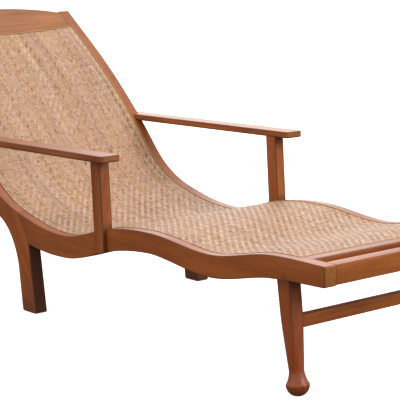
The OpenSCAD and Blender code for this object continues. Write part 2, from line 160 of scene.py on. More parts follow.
def solid(name, outline, rings, put, finish, slides=None, seat=None, seat_rings=None,
          dark=None, face_shade=None):
    """Carries a closed outline through the thickness of a board. Ring j lies at
    level rings[j][0] and is drawn in by rings[j][1], square to its own edges;
    flat faces close the first and last ring. A point in slides is drawn in its
    own way instead, points marked as seat follow seat_rings, and put turns
    outline and level into a place in space. dark is how much painted shade lies
    on the edge at each point, and the last argument is the same for the flat faces too."""
    edge = np.roll(outline, -1, 0) - outline
    edge /= np.hypot(*edge.T)[:, None]
    after = np.stack([-edge[:, 1], edge[:, 0]], 1)
    before = np.roll(after, 1, 0)
    inward = (before + after) / (1 + (before * after).sum(1))[:, None]
    for i, way in (slides or {}).items():
        inward[i] = way
    rings = np.asarray(rings, float)
    level = np.repeat(rings[:, :1], len(outline), 1)
    inset = np.repeat(rings[:, 1:2], len(outline), 1)
    if seat is not None:
        other = np.asarray(seat_rings, float)
        level = np.where(seat[None], other[:, :1], level)
        inset = np.where(seat[None], other[:, 1:2], inset)
    flat = outline[None] + inset[..., None] * inward[None]
    points = np.stack(put(flat[..., 0], flat[..., 1], level), -1)
    # painted shade on the rings of every rounded arris
    painted_shade = np.repeat(arris_mark(rings)[:, None], len(outline), 1) * 0.85
    if dark is not None:
        painted_shade[2:-2] = np.maximum(painted_shade[2:-2], dark)
    if face_shade is not None:
        painted_shade = np.maximum(painted_shade, face_shade)
    return shape(name, points, tube(*level.shape), finish, painted_shade)


def round_off(level, r, into):
    """Rings of an arris of radius r at a face: a guard ring on the face, four
    rings over the quarter round, and a guard ring beyond it."""
    a = np.radians([0, 30, 60, 90])
    rows = [[level, r + 0.4]]
    rows += [[level + into * r * (1 - math.cos(v)), r * (1 - math.sin(v))] for v in a]
    return rows + [[level + into * (r + 2.2), 0]]


def feed(tree, made, sockets):
    """Gives each socket of a shader node, by its name or number, a value or
    another node's output."""
    for key, value in sockets.items():
        if isinstance(value, bpy.types.NodeSocket):
            tree.links.new(value, made.inputs[key])
        else:
            made.inputs[key].default_value = value


def node(tree, kind, sockets, **settings):
    """A new shader node with its settings and what its sockets are fed."""
    made = tree.nodes.new("ShaderNode" + kind)
    for key, value in settings.items():
        setattr(made, key, value)
    feed(tree, made, sockets)
    return made


def wood(name, grain, tint, pith, seed, figure=1.0):
    """Oiled reddish brown hardwood. The grain vector is the direction of the
    fibres. Growth rings are circles round a pith line beside the piece, bent by
    slow noise; fibres and pores are noise stretched along the grain; end grain
    is mottled. Painted shade darkens arrises, corners and places where parts
    shade one another, as much as each point is marked for it. tint brightens
    each colour, and figure is how much of the rings and streaks shows."""
    finish = bpy.data.materials.new(name)
    finish.use_nodes = True
    tree = finish.node_tree

    def maths(operation, *values, clamp=False):
        """The result of one operation on the values."""
        sockets = dict(enumerate(values))
        return node(tree, "Math", sockets, operation=operation, use_clamp=clamp).outputs[0]

    def dot(direction, vector, shift=0.0):
        """How far the vector reaches in a direction, plus a shift."""
        sockets = {0: vector, 1: tuple(direction)}
        made = node(tree, "VectorMath", sockets, operation="DOT_PRODUCT")
        return maths("ADD", made.outputs["Value"], shift)

    def blend(share, a, b):
        """The colour that lies the share of the way from a to b."""
        return node(tree, "Mix", {0: share, 6: a, 7: b}, data_type="RGBA").outputs[2]

    # turns the fibre direction onto the pattern's own X
    fibres = np.array(grain, float)
    fibres /= np.linalg.norm(fibres)
    side = np.cross([0, 0, 1], fibres) if abs(fibres[2]) < 0.9 else np.array([0.0, 1.0, 0.0])
    side /= np.linalg.norm(side)
    place = node(tree, "TexCoord", {}).outputs["Object"]
    along, across = dot(fibres, place, seed), dot(side, place, seed * 0.3)
    rise = dot(np.cross(fibres, side), place)

    def stretched(a, b, detail, rough, shift=0.0):
        """Noise over the board, a cycles a metre along and b across the fibres."""
        vector = node(tree, "CombineXYZ", {
            0: maths("MULTIPLY", along, a), 1: maths("MULTIPLY_ADD", across, b, shift),
            2: maths("MULTIPLY", rise, b)}).outputs[0]
        sockets = {"Vector": vector, "Scale": 1.0, "Detail": detail, "Roughness": rough}
        return node(tree, "TexNoise", sockets, noise_dimensions="3D").outputs["Fac"]

    slow = stretched(1.6, 9, 3, 0.5)
    fibre = stretched(16, 620, 3, 0.6, 3.0)
    streak = stretched(5, 150, 2, 0.5, 17.0)
    blotch = stretched(4, 24, 3, 0.6, 11.0)
    pores = stretched(60, 1500, 1, 0.5, 7.0)
    u, w = maths("SUBTRACT", across, pith[0]), maths("SUBTRACT", rise, pith[1])
    from_pith = maths("SQRT", maths("ADD", maths("MULTIPLY", u, u), maths("MULTIPLY", w, w)))
    ring_gap = 0.0085
    bent = maths("MULTIPLY_ADD", slow, 0.045, from_pith)
    turns = maths("MULTIPLY_ADD", bent, 2 * math.pi / ring_gap, maths("MULTIPLY", fibre, 1.6))
    ring = maths("POWER", maths("MULTIPLY_ADD", maths("SINE", turns), 0.5, 0.5), 2.2)

    # colour: summer rings and fibres dark, spring wood golden brown
    value = maths("MULTIPLY_ADD", ring, -0.12 * figure, 0.55 - 0.03 * (1 - figure))
    value = maths("MULTIPLY_ADD", maths("SUBTRACT", fibre, 0.5), 0.45, value)
    value = maths("MULTIPLY_ADD", maths("SUBTRACT", streak, 0.5), 0.4 * figure, value)
    value = maths("MULTIPLY_ADD", maths("SUBTRACT", blotch, 0.5), 0.65, value, clamp=True)
    ramp = node(tree, "ValToRGB", {"Fac": value})
    stops = [(0.0, (0.1, 0.02, 0.004)), (0.35, (0.2, 0.048, 0.008)),
             (0.62, (0.3, 0.085, 0.016)), (1.0, (0.42, 0.145, 0.034))]
    for at, _ in stops[1:-1]:
        ramp.color_ramp.elements.new(at)
    for element, (_, colour) in zip(ramp.color_ramp.elements, stops):
        element.color = (*(a * b for a, b in zip(colour, tint)), 1)

    pore = maths("MULTIPLY", maths("SUBTRACT", pores, 0.62), 6.0, clamp=True)
    colour = blend(maths("MULTIPLY", pore, 0.3), ramp.outputs["Color"], (0.06, 0.014, 0.004, 1))
    facing = maths("ABSOLUTE", dot(fibres, node(tree, "NewGeometry", {}).outputs["Normal"]))
    mottle = node(tree, "TexNoise", {"Vector": place, "Scale": 330, "Detail": 3}, noise_dimensions="3D")
    mottled = maths("MULTIPLY", maths("SUBTRACT", mottle.outputs["Fac"], 0.44), 6.0, clamp=True)
    end_colour = blend(mottled, (0.36, 0.14, 0.034, 1), (0.12, 0.042, 0.012, 1))
    colour = blend(maths("MULTIPLY", maths("POWER", facing, 5.0), 0.7), colour, end_colour)
    # painted shade: each point's mark mixes the colour towards near black, and roughens it a little
    painted_shade = node(tree, "Attribute", {}, attribute_name="painted_shade").outputs["Fac"]
    colour = blend(maths("MULTIPLY", painted_shade, 0.72), colour, (0.07, 0.018, 0.006, 1))

    # sheen: rougher in blotches, in the pores and where shade is painted
    rough = maths("MULTIPLY_ADD", blotch, 0.14, 0.33)
    rough = maths("MULTIPLY_ADD", pore, 0.15, rough)
    rough = maths("MULTIPLY_ADD", painted_shade, 0.08, rough)
    height = maths("MULTIPLY_ADD", pore, -0.6, maths("MULTIPLY_ADD", ring, -0.25, fibre))
    bump = node(tree, "Bump", {"Strength": 0.35, "Distance": 0.0002, "Height": height}).outputs[0]
    feed(tree, tree.nodes["Principled BSDF"], {
        "Base Color": colour, "Roughness": rough, "Normal": bump,
        "Specular IOR Level": 0.42, "Specular Tint": (1, 0.93, 0.87, 1)})
    return finish


teak_long = wood("teak_along_rails", (0, 1, 0), (1.09, 1.0, 0.88), (0.09, 0.02), 0.3, 0.45)

cane_start, cane_end = 105.0, 1733.4  # where the cane goes down into its groove
joint_top_s, joint_low_s = 1189.0, 1122.0  # the joint, at the top and the lower edge
scarf_top, scarf_low = below(joint_top_s, 0), below(joint_low_s, board_depth(joint_low_s))
groove_out, groove_in, groove_deep = 287.6, 282.0, 6.0
ledge_deep = 3.0  # the ledge that the cane lies on, from the groove to the inner face
arris, inner_arris = 2.2, 0.8

# across the board, a plain edge has a ring for each ring of a grooved one
outer_rows = round_off(rail_out, arris, -1)
plain_rows = outer_rows + [[x, 0] for x in (289, 287.8, groove_out, 287.3, 283, 281)] + \
    round_off(rail_in, inner_arris, 1)[::-1]
groove_rows = outer_rows + [
    [289, 0], [287.8, 0], [groove_out, 0.35], [groove_out - 0.1, groove_deep],
    [groove_in, groove_deep], [groove_in - 0.05, ledge_deep],
    [280, ledge_deep], [279, ledge_deep], [278, ledge_deep],
    [rail_in + 0.4, ledge_deep + 0.05], [rail_in, ledge_deep + 0.5], [rail_in, ledge_deep + 2]]


def sideways(side):
    """Lays an outline of distance and height in the side plane, on one side."""
    def put(s, z, x):
        return side * x, s, z
    return put


low_s = np.linspace(6, joint_low_s, 150)
top_s = np.concatenate([np.linspace(joint_top_s, cane_start + 1.5, 150),
                        [cane_start, cane_start - 0.02], np.linspace(100, 6, 14)])
foot_top = side_line[0, 1]
foot_low = foot_top - side_line[0, 3]
# the two corners at the foot end; the far two of this outline aren't used
nose = eased([[0, foot_top], [0, foot_low], [400, foot_low], [400, foot_top]], 4.0, 5)
rail_outline = np.concatenate([
    nose[5:10], below(low_s, board_depth(low_s)), below(top_s, 0), nose[:5]])
low_i = 5 + len(low_s) - 1
top_i = low_i + 1
cut = scarf_top - scarf_low
cut /= np.hypot(*cut)


def on_cut(a, b, way):
    """Where a board ends on another, the arris of its edge from a to b slides
    along the cut: the way is lengthened until it is 1 square to the edge."""
    run = (b - a) / np.hypot(*(b - a))
    return way / (run[0] * way[1] - run[1] * way[0])


grooved = np.zeros(len(rail_outline), bool)
grooved[top_i:top_i + (top_s >= cane_start).sum()] = True
rail_slides = {
    low_i: on_cut(rail_outline[low_i - 1], rail_outline[low_i], cut),
    top_i: on_cut(rail_outline[top_i], rail_outline[top_i + 1], -cut),
}
joint_gap = np.array([cut[1], -cut[0]]) * 0.15
rail_outline[[low_i, top_i]] -= joint_gap

# painted shade in front of the joint, fading over 45
from_joint = (rail_outline - scarf_low) @ np.array([-cut[1], cut[0]])
joint_shade = 0.55 * np.clip(1 - np.abs(from_joint) / 45, 0, 1) ** 1.5
for side, name in ((-1, "right_rail"), (1, "left_rail")):
    rail = solid("rail_" + name.split("_")[0], rail_outline, plain_rows, sideways(side), teak_long,
                 rail_slides, grooved, groove_rows, face_shade=joint_shade)
    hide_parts(name)

# a small plug over the screw that draws each rail to its front leg
teak_peg = wood("teak_pegs", (0, 0, 1), (0.5, 0.5, 0.5), (0.02, 0.03), 2.6)
around = np.radians(np.linspace(0, 360, 24, endpoint=False))
peg_s, peg_z, peg_r = 133.0, 278.0, 4.5
peg_outline = np.stack([peg_s + peg_r * np.cos(around), peg_z + peg_r * np.sin(around)], 1)
peg_rows = [[rail_out - 0.1, 0], [rail_out + 0.2, 0], [rail_out + 0.4, 0.6]]
for side, name in ((-1, "right"), (1, "left")):
    solid("peg_" + name, peg_outline, peg_rows, sideways(side), teak_peg)


# Back stiles with the rear legs
# Each back stile and its rear leg are one hardwood board, sawn to shape: the leg
# drops from under the joint, and the stile climbs to the crest rail.

teak_back = wood("teak_along_back", (0, 0.5, 0.866), (1.1, 1.02, 0.95), (0.05, -0.3), 1.7, 0.7)
haunch_s, stile_top = 1245.0, side_line[-1, 0]  # where the leg leaves the back, and the top
stile_deep, stile_thin = 54.0, 42.0


def stile_depth(s):
    """Depth of the stile: 54 over the leg, tapering straight to 42 at the top."""
    return stile_deep - (stile_deep - stile_thin) * (s - haunch_s) / (stile_top - haunch_s)


toe, heel, calf = np.array([1108.0, 0]), np.array([1170.0, 0]), np.array([1186.0, 115])
haunch = below(haunch_s, stile_deep)
t = np.linspace(0, 1, 26)[1:-1, None]
leg_back = ((1 - t) ** 3 * calf + 3 * (1 - t) ** 2 * t * (calf + [7.6, 54.8])
            + 3 * (1 - t) * t * t * (haunch - [40, 20]) + t ** 3 * haunch)
leg_front = scarf_low + (toe - scarf_low) * np.linspace(0, 1, 30)[:-2, None]
foot = eased([toe, heel, [1184, 100], [1121, 150]], 7.0, 5)[:10]  # of a rough outline of the leg
back_s = np.linspace(haunch_s, stile_top - 6, 60)
front_s = np.concatenate([np.linspace(stile_top - 6, cane_end + 1.6, 8), [cane_end + 0.02, cane_end],
                          np.linspace(cane_end - 5.4, joint_top_s, 76)])
head = eased([below(stile_top, 0), below(stile_top, stile_thin),
              below(1700.0, stile_thin), below(1700.0, 0)], 4.0, 5)
stile_outline = np.concatenate([
    leg_front, foot, heel + (calf - heel) * np.linspace(0.08, 1, 14)[:, None], leg_back,
    below(back_s, stile_depth(back_s)), head[5:10][::-1], head[:5][::-1], below(front_s, 0)])
last = len(stile_outline) - 1
stile_slides = {
    0: on_cut(stile_outline[0], stile_outline[1], cut),
    last: on_cut(stile_outline[last - 1], stile_outline[last], -cut),
}
stile_outline[[0, last]] += joint_gap
grooved = np.zeros(len(stile_outline), bool)
grooved[-(front_s <= cane_end).sum():] = True

# painted shade lies thick on the leg's front under the seat, and thinner round its foot;
# more painted shade darkens the leg towards the floor, fading out at 70 above it
leg_shade = np.zeros(len(stile_outline))
leg_shade[:len(leg_front) + 1] = 1.25
leg_shade[len(leg_front) + 1:len(leg_front) + 15] = 0.4
foot_shade = 0.9 * np.clip((70 - stile_outline[:, 1]) / 50, 0, 1)
for side, name in ((-1, "right_stile"), (1, "left_stile")):
    stile = solid("stile_" + name.split("_")[0], stile_outline, plain_rows, sideways(side), teak_back,
                  stile_slides, grooved, groove_rows, dark=leg_shade, face_shade=foot_shade)
    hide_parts(name)


# Crest rail
# A flat hardwood board between the tops of the stiles, arched above and bellied
# below. The cane ends in a curved groove along its lower edge.

teak_crest = wood("teak_across_crest", (1, 0, 0), (1.08, 1.34, 1.75), (0.02, 0.33), 4.1)
crest_thick, crest_low_u = 22.0, -70.0  # its lower edge at the ends, down from the stile tops
crest_hang, crest_rise, crest_drop = 18.0, 34.0, 6.0
top_z = side_line[-1, 1]
crest_turn = math.atan2(top_z - float(line_at(stile_top + 0.8 * crest_low_u)[0]), -0.8 * crest_low_u)


def crest_belly(x, drop=0.0):
    """Lower edge of the crest rail's face: a parabola that hangs 18 in the middle."""
    return crest_low_u - drop - crest_hang * (1 - (x / rail_in) ** 2)


def crest_arch(x):
    """Upper edge: 6 below the stile tops at the ends, 34 higher in the middle."""
    return -crest_drop + crest_rise * (1 - np.abs(x / rail_in) ** 2.4)


def on_crest(x, u, w):
    """A place on the crest rail, u up the back and w out of its face: both are
    turned by the slope of the stiles' upper end."""
    return np.stack([x, stile_top + u * math.cos(crest_turn) - w * math.sin(crest_turn),
                     top_z + u * math.sin(crest_turn) + w * math.cos(crest_turn)], -1)


# one section per row, from the face over the top and down the rear to the lower
# edge, then through the groove that takes the cane and back to the face
x = np.linspace(-rail_in, rail_in, 97)[:, None]
q = np.radians(np.linspace(0, 90, 5))[None]
r = 2.6
guard = r + 1.3
lip, groove_wide = 10.2, 5.2
top, low = crest_arch(x), crest_belly(x)
section_u = np.concatenate([
    top - guard, top - r * (1 - np.sin(q)), top, top - r * (1 - np.cos(q)), top - guard,
    low - lip + guard, low - lip + r * (1 - np.sin(q)), low - lip,
    low - lip, low - groove_wide - 0.05, low - groove_wide, low - 0.05, low + 0.3, low + 1.2], 1)
level = [0, -r * (1 - np.cos(q)), -crest_thick / 2, -crest_thick + r * (1 - np.sin(q)), -crest_thick,
         -crest_thick, -crest_thick + r * (1 - np.cos(q)), -9,
         -ledge_deep, -ledge_deep, -groove_deep, -groove_deep, -0.3, 0]
section_w = np.concatenate([v * np.ones_like(x) for v in level], 1)
# painted shade on the arrises
on_arris = np.isin(np.arange(section_u.shape[1]), [2, 3, 4, 7, 8, 9])
crest = shape("crest", on_crest(x * np.ones_like(section_u), section_u, section_w),
              tube(*section_u.shape), teak_crest, np.repeat(on_arris[None], len(x), 0) * 0.8)
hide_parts("crest_rail")


# Cross rails and stretcher
# Straight hardwood bars tenoned between the sides: the end rail at the foot, the
# foot rail behind the open slot, which carries the cane, the hidden seat rail, and
# the stretcher between the front legs.


def bar(name, profile, ends, finish, cad_name, shaded_ends=0.0):
    """A straight bar: its profile of distance and height, carried across from
    end to end. Painted shade darkens a corner by the sine of its bend, and the last
    60 of the bar at each side, where it meets the sides, by the last argument."""
    points = np.stack([np.repeat(ends[:, None], len(profile), 1),
                       np.repeat(profile[None, :, 0], len(ends), 0),
                       np.repeat(profile[None, :, 1], len(ends), 0)], -1)
    before = profile - np.roll(profile, 1, 0)
    after = np.roll(profile, -1, 0) - profile
    bend = np.abs(before[:, 0] * after[:, 1] - before[:, 1] * after[:, 0]) / (
        np.hypot(*before.T) * np.hypot(*after.T) + 1e-9)
    near_end = np.clip((np.abs(ends) - 215) / 60, 0, 1)[:, None]
    painted_shade = np.maximum(np.clip(bend * 1.6, 0, 1), shaded_ends * near_end)
    piece = shape(name, points, tube(len(ends), len(profile)), finish, painted_shade)
    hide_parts(cad_name)


teak_cross = wood("teak_across", (1, 0, 0), (1.3, 1.3, 1.18), (0.02, 0.33), 7.7)
teak_cross_b = wood("teak_across_foot", (1, 0, 0), (1.12, 1.12, 1.05), (0.3, -0.04), 9.3)
across = np.linspace(-rail_in + 0.1, rail_in - 0.1, 25)
cross_z, end_thick = 276.0, 34.0
end_back_z = float(line_at(end_thick)[0])
bar("end_bar", eased([[0, foot_top], [0, cross_z], [end_thick, cross_z], [end_thick, end_back_z]], 2.6, 5),
    across, teak_cross, "end_rail", shaded_ends=0.3)


def rail_top(s, deep):
    """A point on the foot rail's top, so far below the side line."""
    return [s, float(line_at(s)[0]) - deep]


foot_front, foot_back = 71.0, 115.2
outline = eased([[foot_front, foot_top], [foot_front, cross_z],
                 [foot_back, cross_z], [foot_back, 320.5]], 2.4, 5)
foot_profile = np.concatenate([
    outline[:15], [[foot_back, 320.6], rail_top(110.2, ledge_deep), rail_top(110.2, groove_deep),
                   rail_top(105.3, groove_deep), rail_top(105.2, 0.4), rail_top(104.6, 0)],
    below(np.array([96, 88, 80, 73.4]), 0)])
bar("foot_bar", foot_profile, across, teak_cross_b, "foot_rail")

tilt = math.radians(35)
flat_bar = eased([[-11, 22], [-11, -22], [11, -22], [11, 22]], 2.0, 4)
seat_s, seat_z = 1198.0, 226.0
seat_bar = np.stack([seat_s + flat_bar[:, 0] * math.cos(tilt) - flat_bar[:, 1] * math.sin(tilt),
                     seat_z + flat_bar[:, 0] * math.sin(tilt) + flat_bar[:, 1] * math.cos(tilt)], 1)
bar("seat_bar", seat_bar, across, teak_cross_b, "seat_rail")

leg_s, leg_lean = 99.0, math.atan2(38.0, 276.0)  # where the front legs stand, and their lean
stretcher_z = 170.0
stretcher_s = leg_s + stretcher_z * math.tan(leg_lean)
square_bar = eased([[-11, 15.25], [-11, -15.25], [11, -15.25], [11, 15.25]], 2.4, 5)
bar("stretcher_bar", square_bar + [stretcher_s, stretcher_z],
    np.linspace(-275.6, 275.6, 25), teak_cross, "stretcher")


# Front legs
# Hardwood legs, square at the top and tapering, turned from the knee down to a
# round ankle and a ball foot that stands flat on the floor. They lean back a
# little, and each is scribed and tenoned to its side rail.

teak_leg = wood("teak_up_legs", (0, 0.136, 0.99), (0.94, 0.72, 0.7), (0.31, 0.06), 6.2, 0.7)
leg_x = 294.0
ankle_r, ankle_h = 18.2, 60.0
ball_r, ball_h = 28.5, 26.0
leg_top_h, leg_gain = 296.0, 1.8  # what the square part's half-width gains from ankle to top
square_from = 52.0  # below this height only the turned form counts


def leg_radius(turn, h):
    """Distance from the leg's axis to its surface: the smaller of a square with
    softened corners and the turned radius, blended where they meet. The turned
    part is a ball, a neck that narrows as a parabola, and a straight taper."""
    half = ankle_r + leg_gain * np.clip((h - ankle_h) / (leg_top_h - ankle_h), 0, 1)
    square = half * (np.abs(np.cos(turn)) ** 22 + np.abs(np.sin(turn)) ** 22) ** (-1 / 22)
    over = np.clip((h - ball_h) / (ankle_h - ball_h), 0, 1)
    neck = ankle_r + (ball_r - ankle_r) * (1 - over) ** 2
    ball = np.sqrt(np.clip(ball_r ** 2 - (ball_h - h) ** 2, 0, None))
    turned = np.where(h > ankle_h, ankle_r + (h - ankle_h) / 15, np.where(h > ball_h, neck, ball))
    return np.where(h > square_from, (square ** -34 + turned ** -34) ** (-1 / 34), turned)


turn = np.radians(np.linspace(0, 360, 96, endpoint=False))
turn -= 0.16 * np.sin(4 * turn)  # closer together at the corners

# the shoulder is scribed to the underside of the rail: each round looks up the
# rail's height where the shoulder of the round before would be
radius = leg_radius(turn, np.full(len(turn), 270.0))
low_line = below(low_s, board_depth(low_s))
shoulder = np.full(len(turn), 268.0)
for _ in range(4):
    reach = leg_s + radius * np.sin(turn) * math.cos(leg_lean) + shoulder * math.sin(leg_lean)
    rise = 0.3 + radius * np.sin(turn) * math.sin(leg_lean)
    shoulder = (np.interp(reach, *low_line.T) + rise) / math.cos(leg_lean)

straight_top = 226.0
h = np.concatenate([ball_h - ball_r * np.cos(np.radians(np.linspace(8, 84, 14))),
                    np.linspace(ball_h, ankle_h, 15), np.linspace(64, straight_top, 34)])
up = straight_top + (shoulder - straight_top) * np.linspace(0, 1, 8)[1:, None]
h = np.concatenate([np.repeat(h[:, None], len(turn), 1), up])
radius = leg_radius(turn, h)
out, fore = radius * np.cos(turn), radius * np.sin(turn)
leg_line_s = leg_s + fore * math.cos(leg_lean) + h * math.sin(leg_lean)
leg_line_z = np.maximum(-fore * math.sin(leg_lean) + h * math.cos(leg_lean), 0)
corner = np.abs(np.cos(2 * turn)) < 0.25
# painted shade along the corners above 130, and under the rail at the top of the leg
painted_shade = corner * np.clip((leg_line_z - 130) / 60, 0, 1) * 0.5
painted_shade[-6:] = np.maximum(painted_shade[-6:], np.linspace(0, 1, 6)[:, None])
for side, name in ((-1, "right_front_leg"), (1, "left_front_leg")):
    place = np.stack([side * (leg_x + out), leg_line_s, leg_line_z], -1)
    leg = shape("front_leg_" + name.split("_")[0], place, tube(*h.shape), teak_leg, painted_shade, 50)
    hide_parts(name)


# Arm posts
# Rectangular hardwood posts that lean back a little. Their outer part laps over
# the side rail's outer face, their inner part stands on its top edge, and a round
# tenon holds the arm.

teak_post = wood("teak_up_posts", (0, 0.096, 0.995), (1.02, 0.98, 0.86), (0.36, -0.03), 8.0)
post_run = math.tan(math.radians(4.2))
post_in, post_out, post_deep = 294.5, 326.5, 38.1
post_step = 306.0  # between the part that laps and the part that stands
arm_front_s, arm_top_z, arm_thick = 755.0, 485.0, 18.0
arm_fall = 0.026
arm_under = arm_top_z - arm_thick / math.cos(math.atan(arm_fall))
post_s = 803.5  # the post's front edge under the arm
post_rows = np.array(
    round_off(post_out, 1.8, -1)
    + [[315.6, 0], [308, 0], [post_step, 0], [post_step - 0.05, 0], [300, 0]]
    + round_off(post_in, 1.8, 1)[::-1])
laps, inset = post_rows[:, :1] >= post_step, post_rows[:, 1:]

# round each ring: nine points along the lower end from front to rear, four up
# the rear edge and four down the front
f = np.concatenate([np.linspace(0, 1, 9), [1, 1, 1, 1, 0, 0, 0, 0]])
z = np.full((len(post_rows), len(f)), 300.0)
z[:, 12:14] = arm_under - arm_fall * (post_s - arm_front_s) + 0.2
z[:, [11, 14]] = z[:, 12:14] - 14  # a little below the arm
line_s = np.linspace(700, 900, 201)
top_line, low_line = below(line_s, 0), below(line_s, board_depth(line_s))


def post_reach(z):
    """Distance of each point from the foot end: the front edge comes forward as
    it goes down from the arm, and f goes from it to the rear edge."""
    return post_s - (arm_under - z) * post_run + inset + (post_deep - 2 * inset) * f


# the heights at the rail depend on where the post is there, so they are found in rounds
for _ in range(6):
    on_top = np.interp(post_reach(z), *top_line.T) + 0.1
    on_low = np.interp(post_reach(z), *low_line.T)
    z[:, :9] = np.where(laps, on_low + inset, on_top + 0.05 * inset)[:, :9]
    z[:, [9, 16]] = on_top[:, [9, 16]] + 2  # just over the rail
    z[:, [10, 15]] = on_top[:, [10, 15]] + 22
# painted shade on the arrises, on the lap's lower end, under the arm, and at the rear and front just over
# the rail
painted_shade = np.repeat(arris_mark(post_rows)[:, None], len(f), 1) * 1.2
painted_shade[2:-2, :10] = 1
painted_shade[2:-2, 12:14] = 1
painted_shade[2:-2, 16] = 1
for side, name in ((-1, "right_post"), (1, "left_post")):
    place = np.stack([side * np.repeat(post_rows[:, :1], len(f), 1), post_reach(z), z], -1)
    post = shape("post_" + name.split("_")[0], place, tube(*z.shape), teak_post, painted_shade)
    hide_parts(name)


# Arms
# Flat hardwood boards with a wider front end and round outer corners. They lie
# on the posts, butt on the front of the back stiles, and run on past the stiles'
# outer faces as a cheek.

teak_arm = wood("teak_along_arms", (0, 1, -arm_fall), (1.08, 1.08, 1.08), (0.4, 0.52), 5.4)
arm_len, arm_back_w, arm_front_w = 741.0, 56.0, 62.0
arm_r, inner_r = 14.0, 6.0  # of the outer corners and of the inner front one
notch_x, notch_s = 20.7, 682.0  # the notch for the stile, from the arm's inner front corner


def arm_width(t):
    """Width of the arm: 56 at the back, and a soft curve out to 62 in front."""
    return arm_back_w + (arm_front_w - arm_back_w) * (1 - t) ** 2.2


corner = np.radians(np.linspace(0, 90, 9))
front_w = float(arm_width(arm_r / arm_len))
run = np.linspace(0.05, 0.95, 22)
plan = np.concatenate([
    np.stack([inner_r - inner_r * np.sin(corner[::-1]), inner_r - inner_r * np.cos(corner[::-1])], 1),
    np.stack([front_w - arm_r + arm_r * np.sin(corner), arm_r - arm_r * np.cos(corner)], 1),
    np.stack([arm_width(run), run * arm_len], 1),
    np.stack([arm_back_w - arm_r + arm_r * np.cos(corner), arm_len - arm_r + arm_r * np.sin(corner)], 1),
    [[notch_x, arm_len], [notch_x, notch_s], [0, notch_s], [0, 400]]]) + [post_in, arm_front_s]
n = len(plan)
at_stile = np.isin(np.arange(n), [n - 3, n - 2])
stile_s = np.linspace(1250, 1700, 901)
stile_z = line_at(stile_s)[0]


def lay_arm(side):
    """Tilts the flat board by the arm's fall, and ends its inner part on the
    front of the stile, where the side line has the arm's height."""
    def put(across_x, along_s, down):
        z = arm_top_z - down
        stop = np.interp(z - arm_fall * notch_s, stile_z, stile_s) - 0.3
        along_s = np.where(at_stile, stop, along_s)
        return side * across_x, along_s, z - arm_fall * (along_s - arm_front_s)
    return put


arm_rows = round_off(0, 3.0, 1) + round_off(arm_thick, 3.0, -1)[::-1]
arm_slides = {n - 4: (0.0, -1.0), n - 3: (0.05, 0.0), n - 2: (1.0, 0.0)}
for side, name in ((-1, "right_arm"), (1, "left_arm")):
    arm = solid("arm_" + name.split("_")[0], plan, arm_rows, lay_arm(side), teak_arm, arm_slides)
    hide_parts(name)


# Beads
# Half-round strips of split rattan, pressed into the groove beside the cane
# all the way round. They hold its folded edge.


